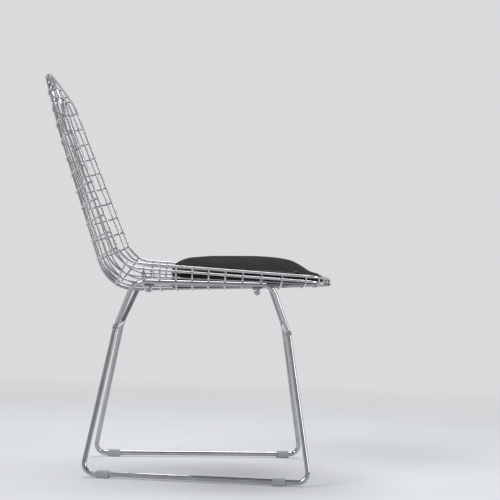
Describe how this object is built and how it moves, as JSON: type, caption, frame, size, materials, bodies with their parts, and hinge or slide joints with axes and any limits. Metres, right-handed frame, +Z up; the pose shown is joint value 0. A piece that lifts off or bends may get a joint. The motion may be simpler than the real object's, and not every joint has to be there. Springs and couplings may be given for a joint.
{
  "type": "wire mesh chair",
  "caption": "Dining chair with a welded wire mesh shell on two bent rod sled frames, floor glides and a crowned black seat pad.",
  "frame": {"origin": "on the floor under the middle of the overall length and width", "axes": "+X to the front of the chair, +Y to its left side as a person sits, +Z up"},
  "size_m": [0.609, 0.5068, 0.824],
  "materials": {
    "shell_chrome": "polished",
    "rod_chrome": "polished",
    "strap_steel": "satin",
    "screw_steel": "satin",
    "glide_plastic": "frosted",
    "pad_cover": "soft grain"
  },
  "bodies": {
    "root": {"outer_rim": "shell_chrome", "inner_rim": "shell_chrome", "long_wire_01": "shell_chrome", "long_wire_02": "shell_chrome", "long_wire_03": "shell_chrome", "long_wire_04": "shell_chrome", "long_wire_05": "shell_chrome", "long_wire_06": "shell_chrome", "long_wire_07": "shell_chrome", "long_wire_08": "shell_chrome", "long_wire_09": "shell_chrome", "long_wire_10": "shell_chrome", "long_wire_11": "shell_chrome", "seat_cross_wire_01": "shell_chrome", "seat_cross_wire_02": "shell_chrome", "seat_cross_wire_03": "shell_chrome", "seat_cross_wire_04": "shell_chrome", "seat_cross_wire_05": "shell_chrome", "seat_cross_wire_06": "shell_chrome", "seat_cross_wire_07": "shell_chrome", "seat_cross_wire_08": "shell_chrome", "seat_cross_wire_09": "shell_chrome", "seat_cross_wire_10": "shell_chrome", "seat_cross_wire_11": "shell_chrome", "back_cross_wire_01": "shell_chrome", "back_cross_wire_02": "shell_chrome", "back_cross_wire_03": "shell_chrome", "back_cross_wire_04": "shell_chrome", "back_cross_wire_05": "shell_chrome", "back_cross_wire_06": "shell_chrome", "back_cross_wire_07": "shell_chrome", "back_cross_wire_08": "shell_chrome", "back_cross_wire_09": "shell_chrome", "back_cross_wire_10": "shell_chrome", "back_cross_wire_11": "shell_chrome", "back_cross_wire_12": "shell_chrome", "front_knee_rod": "rod_chrome", "rear_knee_rod": "rod_chrome", "left_sled_rod": "rod_chrome", "right_sled_rod": "rod_chrome", "left_saddle_rod": "rod_chrome", "right_saddle_rod": "rod_chrome", "front_left_strap": "strap_steel", "front_right_strap": "strap_steel", "rear_left_strap": "strap_steel", "rear_right_strap": "strap_steel", "front_left_bracket": "strap_steel", "front_right_bracket": "strap_steel", "rear_left_bracket": "strap_steel", "rear_right_bracket": "strap_steel", "front_left_screw": "screw_steel", "front_right_screw": "screw_steel", "rear_left_screw": "screw_steel", "rear_right_screw": "screw_steel", "front_left_glide": "glide_plastic", "front_right_glide": "glide_plastic", "rear_left_glide": "glide_plastic", "rear_right_glide": "glide_plastic", "seat_pad": "pad_cover"}
  },
  "joints": []
}
